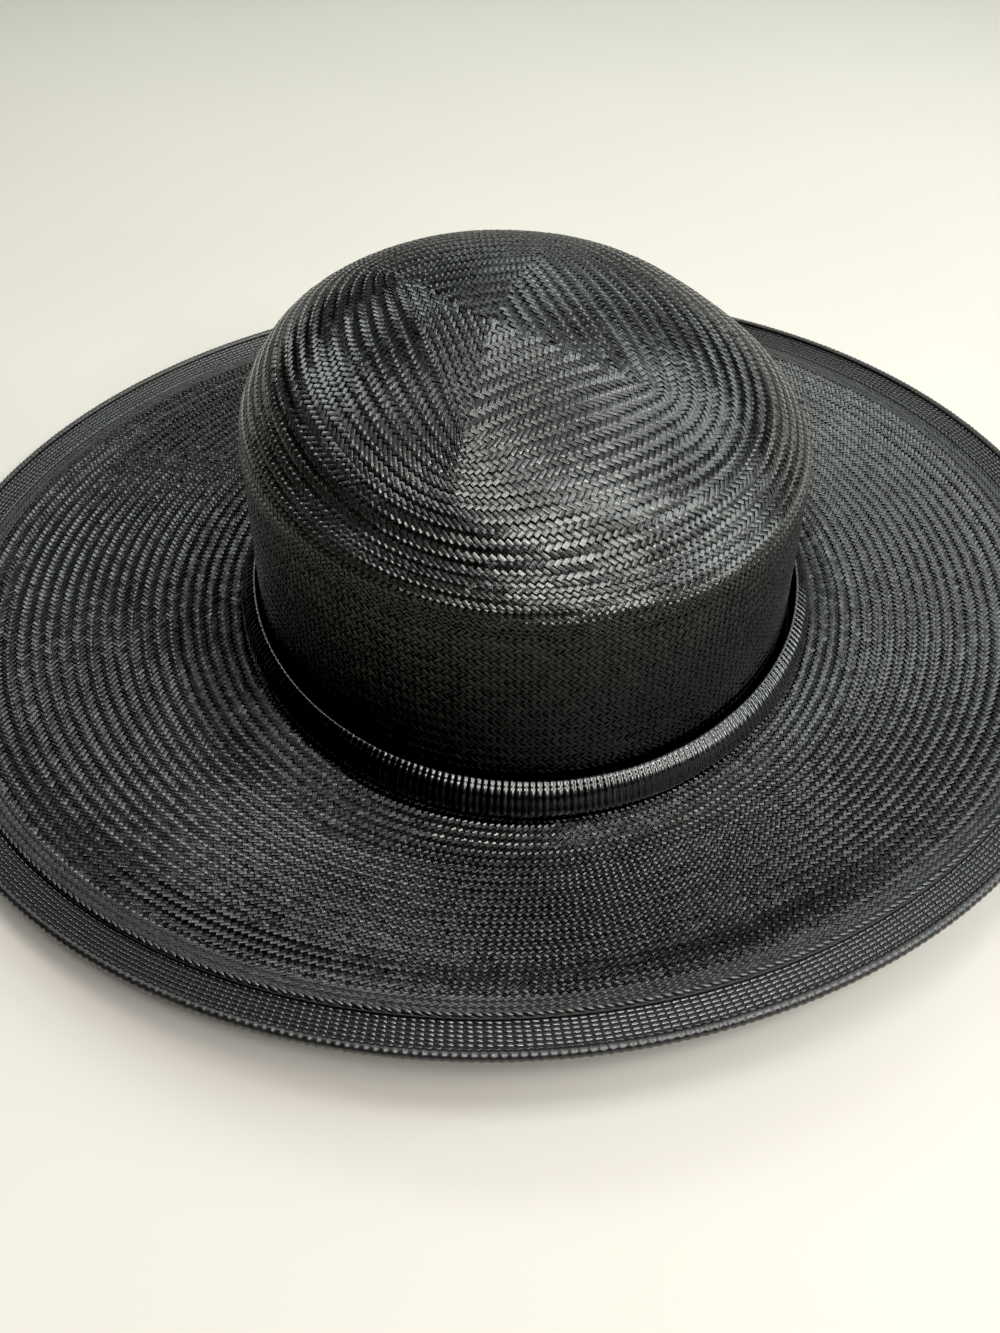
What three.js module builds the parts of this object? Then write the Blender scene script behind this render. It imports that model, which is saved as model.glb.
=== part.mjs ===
// A wide-brim hat of woven straw, with a rolled braid round the crown and a braid lip at the edge of the brim.
// Millimetres, +Z up. X runs across the head and Y from the front of the hat (-Y) to its back.
// The brim's round edge is centred on the origin, and the hat stands on z = 0.
import * as THREE from 'three';

// Straw
const SHEET = 1.6;             // thickness of the woven straw
const GAP = 0.3;               // clearance between neighbouring pieces

// Crown
const CROWN_CENTRE_X = 8;      // the crown sits a little off the middle of the brim
const CROWN_CENTRE_Y = -1.5;
const HEAD_HALF_X = 86;        // half-width of the oval at the headline
const HEAD_HALF_Y = 101;       // half-depth of the oval at the headline
const SHOULDER_HALF_X = 83.8;  // the same at the top of the wall
const SHOULDER_HALF_Y = 95.7;
const SHOULDER_Z = 58.8;         // where the wall starts to round into the tip
const CROWN_HEIGHT = 99;
const TIP_POWER = 2;         // 2 is a round tip, a higher number has a flatter top and a tighter shoulder
const TIP_SLOPE_X = -9.7;      // the tip is higher on the left
const TIP_SLOPE_Y = 1.3;

// Crown foot: the wall turns outward at the headline, where the brim takes over
const FOOT_BEND = 2.5;         // radius of the bend on the outside
const FOOT_REACH = 4.5;        // how far the foot stands out from the wall

// Soft dents and swellings: place of each from the crown's middle, how wide it is, and how far it pushes the
// straw out
const DENTS = [
  { x: 25, y: 62, z: 85, spread: 18, push: 1 },
  { x: 62, y: 50, z: 72, spread: 18, push: -1 },
  { x: -50, y: 62, z: 80, spread: 20, push: -0.7 },
  { x: -86, y: 0, z: 56, spread: 18, push: -0.4 },
  { x: -86, y: 4, z: 20, spread: 16, push: 0.4 },
  { x: 86, y: 0, z: 40, spread: 22, push: 0.4 },
];
const DENT_MIDDLE_Z = 40;      // dents push away from this point inside the crown

// Brim. Heights of its edge vary round the hat: mean, extra at the front, extra at the right
const BRIM_RADIUS = 174.6;
const BRIM_EDGE_TOP = { mean: 12.6, front: 7.6, right: 6.0 };
const BRIM_FLAT = 0.16;        // inner share of the width that lies flat
const BRIM_CURL = 1.4;         // 1 is a straight slope, a higher number lifts mostly at the edge
const HEM_WIDTH = 10;          // folded double edge
const HEM_THICKNESS = 2.4;

// Edge binding: a braid lip beyond the straw, with a round wired edge
const BINDING_RADIUS = 184.1;
const BINDING_EDGE_TOP = { mean: 14.6, front: 5.6, right: 5.8 };
const BINDING_THICKNESS = 1.0;
const BEAD_RADIUS = 1.4;

// Band: a soft roll of braid round the foot of the crown
const BAND_HALF_WIDTH = 3.0;
const BAND_HALF_HEIGHT = 5.7;
const BAND_BOTTOM = 1.9;
const BAND_POWER = 2.6;
const BAND_STAND_OFF = { turn: 80, spread: 32, out: 1.3 };  // degrees from the front, and millimetres

// How finely each piece is divided
const CROWN_SIDES = 64;
const BRIM_SIDES = 84;
const BINDING_SIDES = 84;
const BAND_SIDES = 64;
const BAND_POINTS = 12;

const straw = new THREE.MeshStandardMaterial({ color: 0x1d1f1e, roughness: 0.35, metalness: 0 });
const braid = new THREE.MeshStandardMaterial({ color: 0x141615, roughness: 0.45, metalness: 0 });

const mix = (a, b, t) => a + (b - a) * t;

// Angles run from the front (-Y) towards the right (+X).
function edgeHeight(edge, turn) {
  return edge.mean + edge.front * Math.cos(turn) + edge.right * Math.sin(turn);
}

// A point on the crown. step 0 is the middle of the tip, 1 the top of the wall and 2 the headline.
// inset is how far the surface lies inside the outer one.
function crownPoint(turn, step, inset) {
  const dome = Math.min(step, 1);
  const down = Math.max(step - 1, 0);
  const spread = Math.sin(dome * Math.PI / 2) ** (2 / TIP_POWER);
  const rise = Math.cos(dome * Math.PI / 2) ** (2 / TIP_POWER);
  const halfX = mix(SHOULDER_HALF_X, HEAD_HALF_X, down) - inset;
  const halfY = mix(SHOULDER_HALF_Y, HEAD_HALF_Y, down) - inset;
  const x = halfX * spread * Math.sin(turn);
  const y = -halfY * spread * Math.cos(turn);
  const flatZ = step <= 1 ? SHOULDER_Z + (CROWN_HEIGHT - inset - SHOULDER_Z) * rise : SHOULDER_Z * (1 - down);
  const share = (flatZ / CROWN_HEIGHT) ** 2;
  const slope = TIP_SLOPE_X * x / SHOULDER_HALF_X + TIP_SLOPE_Y * y / SHOULDER_HALF_Y;
  const point = dented(new THREE.Vector3(x, y, flatZ + share * slope));
  return point.add(new THREE.Vector3(CROWN_CENTRE_X, CROWN_CENTRE_Y, 0));
}

function dented(point) {
  const outward = point.clone().sub(new THREE.Vector3(0, 0, DENT_MIDDLE_Z)).normalize();
  let push = 0;
  for (const dent of DENTS) {
    const away = point.distanceToSquared(new THREE.Vector3(dent.x, dent.y, dent.z));
    push += dent.push * Math.exp(-away / (2 * dent.spread ** 2));
  }
  return point.clone().addScaledVector(outward, push);
}

// A point beside the foot of the crown: out millimetres outside the headline oval, at height z.
function headlinePoint(turn, out, z) {
  const x = CROWN_CENTRE_X + (HEAD_HALF_X + out) * Math.sin(turn);
  const y = CROWN_CENTRE_Y - (HEAD_HALF_Y + out) * Math.cos(turn);
  return new THREE.Vector3(x, y, z);
}

// A point on the brim. across 0 is its inner edge and 1 its outer edge.
function brimPoint(turn, across, top) {
  const inner = headlinePoint(turn, FOOT_REACH + GAP, 0);
  const outer = new THREE.Vector3(BRIM_RADIUS * Math.sin(turn), -BRIM_RADIUS * Math.cos(turn), 0);
  const width = inner.distanceTo(outer);
  const point = inner.lerp(outer, across);
  const lift = Math.max((across - BRIM_FLAT) / (1 - BRIM_FLAT), 0) ** BRIM_CURL;
  const bottom = (edgeHeight(BRIM_EDGE_TOP, turn) - HEM_THICKNESS) * lift;
  const inHem = (1 - across) * width < HEM_WIDTH;
  const thickness = inHem ? HEM_THICKNESS : SHEET;
  point.z = bottom + (top ? thickness : 0);
  return point;
}

// Turns rings of points into one closed mesh. Each ring holds one point per side. A first or last ring of a
// single point closes the mesh there; otherwise the last ring joins the first.
function closedMesh(name, rings, material) {
  const positions = [];
  const starts = rings.map((ring) => {
    const start = positions.length / 3;
    ring.forEach((point) => positions.push(point.x, point.y, point.z));
    return start;
  });
  const looped = rings[0].length > 1;
  const faces = [];
  const pairs = looped ? rings.length : rings.length - 1;
  for (let i = 0; i < pairs; i += 1) {
    const j = (i + 1) % rings.length;
    const sides = Math.max(rings[i].length, rings[j].length);
    for (let k = 0; k < sides; k += 1) {
      const next = (k + 1) % sides;
      const a = starts[i] + (rings[i].length > 1 ? k : 0);
      const b = starts[i] + (rings[i].length > 1 ? next : 0);
      const c = starts[j] + (rings[j].length > 1 ? next : 0);
      const d = starts[j] + (rings[j].length > 1 ? k : 0);
      if (a !== b) faces.push(a, d, b);
      if (c !== d) faces.push(b, d, c);
    }
  }
  const geometry = new THREE.BufferGeometry();
  geometry.setAttribute('position', new THREE.Float32BufferAttribute(positions, 3));
  geometry.setIndex(faces);
  geometry.computeVertexNormals();
  const mesh = new THREE.Mesh(geometry, material);
  mesh.name = name;
  return mesh;
}

function ring(sides, pointAt) {
  return Array.from({ length: sides }, (_, k) => pointAt((k / sides) * 2 * Math.PI));
}

function makeCrown() {
  const bendSteps = [0, 1 / 3, 2 / 3, 1];
  const bendCentreOut = FOOT_BEND;
  const bendCentreZ = SHEET + FOOT_BEND;
  const bend = (radius, t) => ({
    out: bendCentreOut - radius * Math.cos(t * Math.PI / 2),
    z: bendCentreZ - radius * Math.sin(t * Math.PI / 2),
  });
  const domeSteps = [0.06, 0.14, 0.24, 0.34, 0.44, 0.54, 0.63, 0.71, 0.79, 0.86, 0.92, 0.97, 1];
  const wallSteps = [1.15, 1.3, 1.45, 1.6, 1.75];
  const insideSteps = [0.1, 0.25, 0.4, 0.54, 0.66, 0.77, 0.86, 0.94, 1, 1.25, 1.5, 1.75];

  const rings = [[crownPoint(0, 0, 0)]];
  for (const step of [...domeSteps, ...wallSteps]) {
    rings.push(ring(CROWN_SIDES, (turn) => crownPoint(turn, step, 0)));
  }
  for (const t of bendSteps) {
    const { out, z } = bend(FOOT_BEND, t);
    rings.push(ring(CROWN_SIDES, (turn) => headlinePoint(turn, out, z)));
  }
  rings.push(ring(CROWN_SIDES, (turn) => headlinePoint(turn, FOOT_REACH, SHEET)));
  rings.push(ring(CROWN_SIDES, (turn) => headlinePoint(turn, FOOT_REACH, 0)));
  for (const t of bendSteps.toReversed()) {
    const { out, z } = bend(FOOT_BEND + SHEET, t);
    rings.push(ring(CROWN_SIDES, (turn) => headlinePoint(turn, out, z)));
  }
  for (const step of insideSteps.toReversed()) {
    rings.push(ring(CROWN_SIDES, (turn) => crownPoint(turn, step, SHEET)));
  }
  rings.push([crownPoint(0, 0, SHEET)]);
  return closedMesh('crown', rings, straw);
}

function makeBrim() {
  const body = [0, BRIM_FLAT, 0.3, 0.45, 0.6, 0.75, 0.88];
  const rings = body.map((across) => ring(BRIM_SIDES, (turn) => brimPoint(turn, across, true)));
  // The top steps up where the edge is folded double.
  const hemStart = (turn) => {
    const inner = headlinePoint(turn, FOOT_REACH + GAP, 0);
    const outer = new THREE.Vector3(BRIM_RADIUS * Math.sin(turn), -BRIM_RADIUS * Math.cos(turn), 0);
    return 1 - HEM_WIDTH / inner.distanceTo(outer);
  };
  rings.push(ring(BRIM_SIDES, (turn) => brimPoint(turn, hemStart(turn) - 0.01, true)));
  rings.push(ring(BRIM_SIDES, (turn) => brimPoint(turn, hemStart(turn) + 0.005, true)));
  rings.push(ring(BRIM_SIDES, (turn) => brimPoint(turn, 1, true)));
  for (const across of [1, ...body.toReversed()]) {
    rings.push(ring(BRIM_SIDES, (turn) => brimPoint(turn, across, false)));
  }
  return closedMesh('brim', rings, straw);
}

function makeBinding() {
  const start = BRIM_RADIUS + GAP;
  const beadCentre = BINDING_RADIUS - BEAD_RADIUS;
  const middleZ = (turn, share) => {
    const from = edgeHeight(BRIM_EDGE_TOP, turn) - HEM_THICKNESS + 0.2 + BINDING_THICKNESS / 2;
    const to = edgeHeight(BINDING_EDGE_TOP, turn) - BEAD_RADIUS;
    return mix(from, to, share ** 1.5);
  };
  const point = (turn, radius, z) => new THREE.Vector3(radius * Math.sin(turn), -radius * Math.cos(turn), z);
  const lip = (share, side) => ring(BINDING_SIDES, (turn) => {
    const radius = mix(start, beadCentre, share);
    return point(turn, radius, middleZ(turn, share) + side * BINDING_THICKNESS / 2);
  });
  const bead = (degrees) => ring(BINDING_SIDES, (turn) => {
    const angle = THREE.MathUtils.degToRad(degrees);
    const radius = beadCentre + BEAD_RADIUS * Math.cos(angle);
    return point(turn, radius, middleZ(turn, 1) + BEAD_RADIUS * Math.sin(angle));
  });
  const rings = [
    lip(0, 1), lip(0.4, 1), lip(0.75, 1),
    bead(110), bead(60), bead(0), bead(-60), bead(-110),
    lip(0.75, -1), lip(0.4, -1), lip(0, -1),
  ];
  return closedMesh('edge_binding', rings, braid);
}

function makeBand() {
  const power = 2 / BAND_POWER;
  const rounded = (value) => Math.sign(value) * Math.abs(value) ** power;
  const rings = [];
  for (let i = 0; i < BAND_POINTS; i += 1) {
    const angle = Math.PI / 2 - ((i + 0.5) / BAND_POINTS) * 2 * Math.PI;
    const across = rounded(Math.cos(angle));
    const up = rounded(Math.sin(angle));
    rings.push(ring(BAND_SIDES, (turn) => {
      const degrees = THREE.MathUtils.radToDeg(turn);
      const near = Math.exp(-((degrees - BAND_STAND_OFF.turn) ** 2) / (2 * BAND_STAND_OFF.spread ** 2));
      const out = GAP + 0.1 + BAND_HALF_WIDTH * (1 + across) + BAND_STAND_OFF.out * near;
      return headlinePoint(turn, out, BAND_BOTTOM + BAND_HALF_HEIGHT * (1 + up));
    }));
  }
  return closedMesh('hat_band', rings, braid);
}

const group = new THREE.Group();
group.add(makeCrown(), makeBrim(), makeBand(), makeBinding());

export default group;
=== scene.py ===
"""A wide-brim hat of woven black straw, with a rolled braid round the crown and a braid lip round the brim.

The shapes below are worked out in millimetres in the CAD's frame and turned into metres when a mesh is made.
Angles round the hat run from the front (-Y) towards the right (+X).
"""
import math

import bpy
import numpy as np
from mathutils import Matrix, Vector


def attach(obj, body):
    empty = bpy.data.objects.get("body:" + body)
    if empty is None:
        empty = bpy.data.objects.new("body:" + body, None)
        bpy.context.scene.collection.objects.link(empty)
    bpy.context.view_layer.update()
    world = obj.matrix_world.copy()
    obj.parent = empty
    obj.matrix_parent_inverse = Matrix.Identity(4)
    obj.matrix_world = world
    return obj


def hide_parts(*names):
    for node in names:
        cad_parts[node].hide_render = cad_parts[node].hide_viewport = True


MM = 0.001
FULL_TURN = 2 * math.pi
UP = np.array([0, 0, 1.0])

# Camera: where the photo was taken from, in millimetres, with its axes in the hat's frame
CAMERA_PLACE = (0.5, -289.0, 239.5)
CAMERA_RIGHT = (1.0, 0.0011, 0.0011)
CAMERA_UP = (-0.0016, 0.7043, 0.7099)
CAMERA_FORWARD = (0.0, 0.7099, -0.7043)
CAMERA_LENS = 29.71
CAMERA_SENSOR = 36.0

# Crown, as in the CAD
SHEET = 1.6  # thickness of the woven straw
CROWN_CENTRE = np.array([8.0, -1.5, 0.0])
HEAD_HALF = (86.0, 101.0)  # half-width and half-depth at the headline
SHOULDER_HALF = (83.8, 95.7)  # the same at the top of the wall
SHOULDER_Z = 58.8
CROWN_HEIGHT = 99.0
TIP_SLOPE = (-9.7, 1.3)
FOOT_BEND = 2.5  # the wall turns outward at the headline with this radius
FOOT_REACH = 4.5  # how far the foot stands out from the wall
DENTS = (  # x, y, z, spread, push
    (25, 62, 85, 18, 1.0),
    (62, 50, 72, 18, -1.0),
    (-50, 62, 80, 20, -0.7),
    (-86, 0, 56, 18, -0.4),
    (-86, 4, 20, 16, 0.4),
    (86, 0, 40, 22, 0.4),
)
DENT_MIDDLE_Z = 40.0

# Brim and edge, as in the CAD
INNER_EDGE_OUT = 4.8  # from the headline to the brim's inner edge
BRIM_RADIUS = 174.6
BRIM_EDGE_TOP = (12.6, 7.6, 6.0)  # mean height, extra at the front, extra at the right
BRIM_FLAT = 0.16  # inner share of the width that lies flat
BRIM_CURL = 1.4
HEM_WIDTH = 10.0
HEM_THICKNESS = 2.4
BINDING_RADIUS = 184.1
BINDING_EDGE_TOP = (14.6, 5.6, 5.8)
BINDING_THICKNESS = 1.0
BEAD_RADIUS = 1.4
LIP_START_IN = 1.2  # the lip starts this far inside the straw's edge
LIP_START_UP = 0.2  # and this far above the underside of that edge
LIP_CURL = 1.5

# Shapes of the brim that the CAD leaves out
BRIM_WAVES = ((5, 0.6, 0.35), (8, 2.1, 0.25), (13, 4.0, 0.14))  # waves round the brim, phase, height
WAVES_FROM = 0.8  # height of the underside where the waves are full: none at the floor
WAVE_FADE = 1.5  # how softly they end at the brim's two edges
HEM_FADE = (3.0, 9.0)  # the thick edge thins out from inside HEM_WIDTH to beyond it

# Band. It lies where the CAD has it, and its section leans on the crown
BAND_GAP = 0.4  # between the headline and the roll
BAND_HALF_WIDTH = 3.0
BAND_HALF_HEIGHT = 5.7
BAND_BOTTOM = 1.9
BAND_STAND_OFF = (80.0, 32.0, 1.3)  # degrees from the front, spread in degrees, millimetres out
BAND_SECTION = (  # out and up from the roll's middle
    (2.7, -1.6), (2.2, 0.7), (1.0, 2.8), (-0.8, 4.4), (-2.2, 5.1),
    (-2.8, 4.0), (-2.8, 0.0), (-2.6, -4.6), (-1.2, -5.4), (0.9, -5.3), (2.3, -4.2),
)
BAND_AROUND = 48  # points round the section
BAND_RIB = 2.0  # spacing of the ribs across the band
BAND_RIB_PROFILE = (0.0, 0.8, 1.0, 1.0, 0.8)
BAND_RIB_HEIGHT = 0.34
BAND_RIB_SUNK = 0.16
BAND_RIDGES_FROM = 4.2  # fine ridges run along the band above this height of its section
BAND_RIDGE = 0.12
BAND_WANDER = ((0.05, 9, 3), (0.03, 23, 1))  # height, waves round the hat, waves round the section

# Weave of the crown. The tip starts as four fans of straight rows that meet in one point. Each fan ends
# between two corners, and from there the rows run round the crown. Places on the tip are measured along the
# straw from the crown's middle: distance, and degrees from the front.
TIP_LENGTH = 105.9  # from the crown's middle to the top of the wall, along the straw
DOME_HALF = 90.0  # mean half-width and height of the tip, for distances along the straw
DOME_HIGH = 40.0
WEAVE_MIDDLE = (21.7, 331.0)
WEAVE_CORNERS = ((59.3, 342.7), (43.2, 44.5), (29.4, 171.2), (42.1, 254.5))  # front-left, and on round
START_TURN = math.radians(WEAVE_CORNERS[0][1])
CORNER_ROUNDINGS = (1.0, 4.0, 7.0, 10.0, 13.0, 16.0)  # how far from a corner the rows turn, going outwards
CORNER_SAMPLES = 720  # places round the crown at which the corners are worked out
ROUNDED_AT = 0.5  # share of the tip rows where the last of these is reached
FAN_PITCH = (1.97, 2.6, 1.85, 2.75)  # spacing of the strands in each fan: front, right, back, left
FAN_ROWS = 14  # half rows from the middle to the corners
FAN_MARGIN = 0.6  # how far a strand's middle may lie outside its fan
TIP_ROWS = 34  # half rows from the corners to the top of the wall
TIP_ROW_EASE = 0.16  # how much closer the rows lie at the top of the wall
TIP_PITCH = 2.05
TIP_GROUP = 4  # so many half rows have the same number of strands
SHOULDER_RADIUS = 91.5  # mean radius at the top of the wall
RIDGE_HEIGHT = 3.5  # how far the point where the fans meet stands up
RIDGE_REACH = 1.7  # how far the ridges between fans run on, in fan depths
RIDGE_CURVE = 1.5  # 1 is a straight slope from that point, a higher number a hollow one
RIDGE_LOWERED = 1.2  # the tip as a whole lies this much lower, to keep its outline
TIP_EDGE_LENGTH = 98.0  # the tip turns down into the wall here, most sharply at the front
TIP_EDGE_SLACK = (1.8, -10.0, 7.0)  # the straw sinks before that: depth, place from there, spread
TIP_EDGE_CRISP = (0.8, 1.0, 4.0)  # and stands out at the turn
TIP_EDGE_FRONT = (0.25, 0.7)  # how far round from the front both go, and how evenly
WALL_ROWS = 34
WALL_BOTTOM = 3.0
WALL_STRANDS = 264
WALL_PITCH = 2.17

# Weave of the brim
BRIM_ROWS = 42
BRIM_PITCH = 2.0
BRIM_GROUP = 6  # so many half rows have the same number of strands
HEADLINE_RADIUS = 98  # mean radius at the crown's foot
FLAT_BRIM_ROWS = 12  # half rows next to the crown whose straw is pressed flat
HEM_ROWS = 5
HEM_ROWS_WIDTH = 6.0  # the last rows before the edge are pressed together
HEM_ROWS_FILL = 0.8  # they fill this share of that width
HEM_RELIEF = 0.7  # and are this much flatter than the others

# Shape of one visible length of straw, in millimetres above the surface
FLOAT_CREST = 0.30
FLOAT_END_DROP = 0.24
FLOAT_SIDE_DROP = 0.15
FLOAT_FLAT_PART = 0.62  # share of the length that is its straight middle
FLOAT_LENGTHS = (0.96, 1.08)  # least and most, in strands
FLOAT_WIDTHS = (0.86, 1.02)
FLOAT_NARROWING = 0.12  # share of the width that is missing at the ends
FLOAT_LEANS = (0.03, 0.025)  # how unevenly they lean, across and along
FLOAT_LIFTS = 0.03
BACKING_DEPTH = 0.32  # from the surface down to the sheet behind the straw
SLOPE_STEP = 0.05  # step, in strands and half rows, for finding which way a surface faces

# Grain along the straw
GRAIN_WIDTH = 0.35
GRAIN_LENGTH = 1.4
GRAIN_STRETCH = (3.4, 0.45, 1.0)  # finer across a straw than along it
GRAIN_PLACES = 500  # each length of straw takes its grain from its own place in this range

# Sheets behind the straw
CROWN_SIDES = 192
CROWN_SHEET_START = 0.4  # from the middle of the tip
CROWN_OUTSIDE = (54.0, 80)  # how far the outside runs down the wall, and its rings
CROWN_INSIDE = (52.0, 48)
FOOT_RINGS = (5, 6)  # round the foot's bend, outside and inside
FOOT_ROWS = (0.6, 1.0, 0.8)  # half rows of the bump from ring to ring: outside, rim, inside
FOOT_LOWERED = 0.1  # the foot lies this much deeper than in the CAD
SHEET_BUMP = (3.0, 2.6)  # how much a straw of the bump drops at its sides and at its ends
SHEET_ROW = 1.65  # spacing of the half rows of the bump
SHEET_THINNED = (70, 30)  # the bump has half the strands inside this distance, then a quarter
BRIM_SIDES = 240
BRIM_SHEET_STRANDS = 400
BRIM_SHEET_RINGS = 26
BRIM_SHEET_ROWS = 1.8  # half rows of the bump between two rings

# Last row of the straw: a rope of short twists
TWISTS = 500
TWIST_SHADES = (0.2, 1)
TWIST_PROFILE = (-1.0, -0.75, 0.0, 0.75, 1.0)
TWIST_POINTS = 6
TWIST_UNEVEN = 0.08
TWIST_TIP = 0.06  # the ends are not quite closed
TWIST_LENGTH = 1.25
TWIST_SLANT = 0.38
TWIST_HALF_WIDTH = 0.62
TWIST_HALF_HEIGHT = 0.42
TWIST_INSIDE = 0.75  # from the straw's outer edge
TWIST_ABOVE = 0.05

# Stitches of the folded edge
STITCH_LINES = (8.6, 7.0)  # from the straw's outer edge
STITCH_PITCH = 3.0
STITCH_UNEVEN = 0.1
STITCH_HALF = (0.75, 0.2)  # half its length and width
STITCH_FOOT = 0.15  # heights above the straw
STITCH_CREST = 0.28

# Braid
BRAID_PITCH = 2.1
BRAID_STRENGTH = (0.7, 1.1)  # how high each rib stands, least and most
LIP_RADIUS = 179  # in the middle of the lip
LIP_SIDES = 300
LIP_RINGS = 9
LIP_FACES = (0.25, -0.35)  # top and underside of the sheer sheet, from the lip's middle
LIP_ROWS = 7
LIP_ROWS_FROM = 0.12  # the rows of threads start and run on, in shares of the lip's width
LIP_ROWS_OVER = 0.80
LIP_THREAD_AT = 0.32  # from the lip's middle
LIP_THREAD_HALF = (0.40, 0.27)  # half the length and width of a thread, in strands and rows
LIP_THREAD_HEIGHT = (0.24, 0.09, 0.15)  # crest, drop at the ends, drop at the sides
LIP_THREAD_UNEVEN = (0.02, 0.03)
LIP_THREAD_SHIFT = 0.04  # from one row to the next
WIRE_AROUND = 12  # points round the section of the wired edge
WIRE_RIB_POINTS = 5
WIRE_RIB_HEIGHT = 0.22
WIRE_RIB_CURVE = 1.5

# Lights: degrees round from the front and up from the floor, size in metres, power in watts, colour
LIGHT_DISTANCE = 1.25
LIGHT_TARGET = Vector((0.0, 0.0, 0.05))
WARM = (1.0, 0.975, 0.935)
COOL = (0.93, 1.0, 0.955)
LIGHTS = (
    ("top", 0, 89, 0.38, 4.9, WARM),
    ("front_high", 12, 60, 0.26, 5.8, WARM),
    ("window", 45, 62, 0.26, 3.8, WARM),
    ("window_low", 43, 38, 0.28, 5.0, WARM),
    ("side_high", 90, 62, 0.34, 3.4, COOL),
    ("side", 90, 36, 0.34, 2.8, COOL),
    ("side_flat", 90, 16, 0.32, 3.3, COOL),
    ("high_back", 135, 62, 0.36, 1.0, COOL),
    ("side_back", 135, 36, 0.34, 2.1, COOL),
    ("back", 178, 36, 0.34, 0.4, COOL),
    ("back_high", 174, 50, 0.30, 2.2, COOL),
    ("back_flat", 172, 18, 0.34, 0.3, COOL),
    ("left_back", 225, 38, 0.32, 2.4, COOL),
    ("left_high", 225, 62, 0.36, 0.55, WARM),
)
ROOM_LIGHT = 0.02
ROOM_COLOUR = (0.88, 0.99, 0.94, 1)
BACKDROP = (0.80, 0.79, 0.74, 1)  # seen behind the floor, and the colour of the floor's far part
FAR_FLOOR = (0.8, 1.8)  # metres from the hat where the floor turns into the backdrop
FLOOR_SIZE = 80.0
BLACK_LEVEL = 0.006  # less light than this is shown as black

random = np.random.RandomState(7)


# Surfaces. Each takes arrays and gives points in millimetres.

def flat_place(turn, length):
    """x and y at a distance from the middle, at angles round the hat."""
    return np.stack([length * np.sin(turn), -length * np.cos(turn)], -1)


def round_place(turn, radius, z):
    return np.stack([radius * np.sin(turn), -radius * np.cos(turn), z], -1)


def unit(vectors):
    return vectors / np.linalg.norm(vectors, axis=-1, keepdims=True)


def crown_point(turn, step, inset=0.0):
    """step 0 is the middle of the tip, 1 the top of the wall and 2 the headline.

    inset is how far inside the outer surface the points lie.
    """
    turn, step = np.broadcast_arrays(np.asarray(turn, float), np.asarray(step, float))
    dome = np.clip(step, 0, 1) * math.pi / 2
    down = np.clip(step - 1, 0, None)
    spread = np.sin(dome)
    rise = np.cos(dome)
    half_x = SHOULDER_HALF[0] + (HEAD_HALF[0] - SHOULDER_HALF[0]) * down - inset
    half_y = SHOULDER_HALF[1] + (HEAD_HALF[1] - SHOULDER_HALF[1]) * down - inset
    x = half_x * spread * np.sin(turn)
    y = -half_y * spread * np.cos(turn)
    on_tip = SHOULDER_Z + (CROWN_HEIGHT - inset - SHOULDER_Z) * rise
    flat_z = np.where(step <= 1, on_tip, SHOULDER_Z * (1 - down))
    slope = TIP_SLOPE[0] * x / SHOULDER_HALF[0] + TIP_SLOPE[1] * y / SHOULDER_HALF[1]
    points = np.stack([x, y, flat_z + (flat_z / CROWN_HEIGHT) ** 2 * slope], -1)
    outward = unit(points - np.array([0, 0, DENT_MIDDLE_Z]))
    push = np.zeros(points.shape[:-1])
    for dent_x, dent_y, dent_z, width, amount in DENTS:
        away = ((points - np.array([dent_x, dent_y, dent_z])) ** 2).sum(-1)
        push += amount * np.exp(-away / (2 * width ** 2))
    return points + outward * push[..., None] + CROWN_CENTRE


def dome_table():
    """Distance along the straw from the tip's middle for a row of steps, scaled to TIP_LENGTH."""
    steps = np.linspace(0, 1, 200)
    across = DOME_HALF * np.sin(steps * math.pi / 2)
    high = DOME_HIGH * np.cos(steps * math.pi / 2)
    lengths = np.concatenate([[0], np.cumsum(np.hypot(np.diff(across), np.diff(high)))])
    return steps, lengths * TIP_LENGTH / lengths[-1]


DOME_STEPS, DOME_LENGTHS = dome_table()


def on_tip(length, degrees):
    """x and y of a place on the tip, measured along the straw."""
    turn = math.radians(degrees)
    return np.array([length * math.sin(turn), -length * math.cos(turn)])


def tip_fans():
    """For each fan of the tip: its two corners, the direction of its rows, the way out and its depth."""
    corners = [on_tip(*corner) for corner in WEAVE_CORNERS]
    middle = on_tip(*WEAVE_MIDDLE)
    fans = []
    for k in range(4):
        start = corners[k]
        end = corners[(k + 1) % 4]
        row = (end - start) / np.linalg.norm(end - start)
        outward = np.array([row[1], -row[0]])
        fans.append((start, end, row, outward, (start - middle) @ outward))
    return middle, fans


def tip_rise(places):
    """How far the tip stands out where its fans meet in a blunt point, with a soft ridge between fans."""
    middle, fans = tip_fans()
    farthest = np.full(places.shape[:-1], -1.0)
    for _, _, _, outward, depth in fans:
        farthest = np.maximum(farthest, (places - middle) @ outward / depth)
    near = np.clip(1 - farthest / RIDGE_REACH, 0, None)
    return RIDGE_HEIGHT * near ** RIDGE_CURVE


def edge_hump(length, shape):
    """shape: height, place beyond the edge of the tip, and spread."""
    high, after, spread = shape
    return high * np.exp(-((length - TIP_EDGE_LENGTH - after) / spread) ** 2)


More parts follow.
